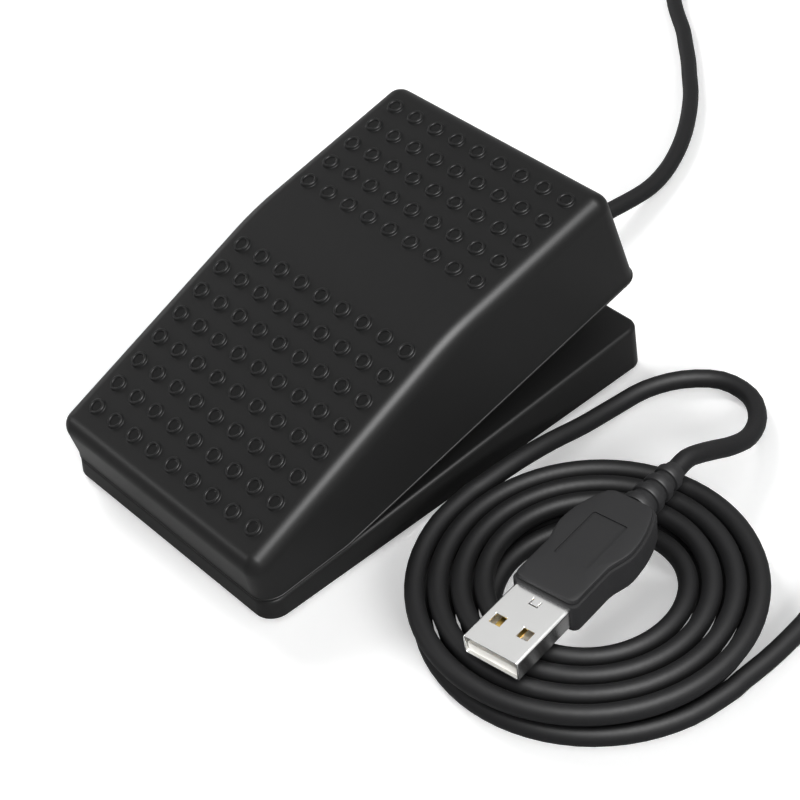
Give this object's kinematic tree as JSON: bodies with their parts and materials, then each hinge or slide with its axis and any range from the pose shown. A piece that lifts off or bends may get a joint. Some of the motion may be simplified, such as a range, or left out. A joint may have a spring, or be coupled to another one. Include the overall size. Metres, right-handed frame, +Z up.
{
  "type": "foot pedal switch",
  "caption": "USB foot pedal switch: a studded wedge tread cover hinged near the front of a flat base, sprung, over a lever switch on a small board, with a coiled cord and plug.",
  "frame": {"origin": "on the floor under the middle of the base", "axes": "+X to the right of a person whose toes point to the raised end, +Y towards the raised end and its cord, +Z up"},
  "size_m": [0.1826, 0.2648, 0.0464],
  "materials": {
    "black_abs": "fine satin grain",
    "black_rubber": "matt",
    "zinc_steel": "zinc plated",
    "spring_steel": "drawn wire and strip",
    "switch_plastic": "matt",
    "red_plastic": "smooth",
    "tinned_brass": "plated",
    "green_board": "solder mask",
    "chip_resin": "moulded",
    "grey_ceramic": "fired",
    "wire_insulation": "extruded",
    "black_cord": "satin",
    "nickel_shell": "nickel plated",
    "white_plastic": "moulded"
  },
  "bodies": {
    "base": {"base_housing": "black_abs", "bottom_plate": "black_abs", "bottom_screws": "zinc_steel", "rubber_feet": "black_rubber", "hinge_pin": "zinc_steel", "pin_clips": "zinc_steel", "return_spring": "spring_steel", "switch_case": "switch_plastic", "switch_terminals": "tinned_brass", "circuit_board": "green_board", "controller_chip": "chip_resin", "board_components": "grey_ceramic", "board_screws": "zinc_steel", "cord_wires": "wire_insulation", "cord_tail": "black_cord", "cord_relief": "black_cord", "cord_run": "black_cord", "cord_coil": "black_cord", "plug_lead": "black_cord", "plug_relief": "black_cord", "plug_grip": "black_cord", "plug_shell": "nickel_shell", "plug_tongue": "white_plastic", "plug_contacts": "tinned_brass"},
    "pedal": {"pedal_cover": "black_abs"},
    "lever": {"switch_lever": "spring_steel"},
    "plunger": {"switch_plunger": "red_plastic"}
  },
  "joints": [
    {"name": "pedal_hinge", "type": "hinge", "parent": "base", "child": "pedal", "pos_m": [0, -0.0297, 0.0106], "axis": [1, 0, 0], "range_deg": [-8.4, 0], "stiffness_Nm_per_rad": 1.6, "springref_deg": 5.73, "deforming": ["return_spring"]},
    {"name": "lever_pivot", "type": "hinge", "parent": "base", "child": "lever", "pos_m": [0, 0.0026, 0.0124], "axis": [1, 0, 0], "range_deg": [0, 13.1]},
    {"name": "plunger_slide", "type": "slide", "parent": "base", "child": "plunger", "axis": [0, 0, 1], "range_m": [-0.0006, 0]}
  ],
  "couplings": [
    {"joint": "lever_pivot", "follows": "pedal_hinge", "ratio": -1.55},
    {"joint": "plunger_slide", "follows": "pedal_hinge", "m_per_rad": 0.00396}
  ]
}
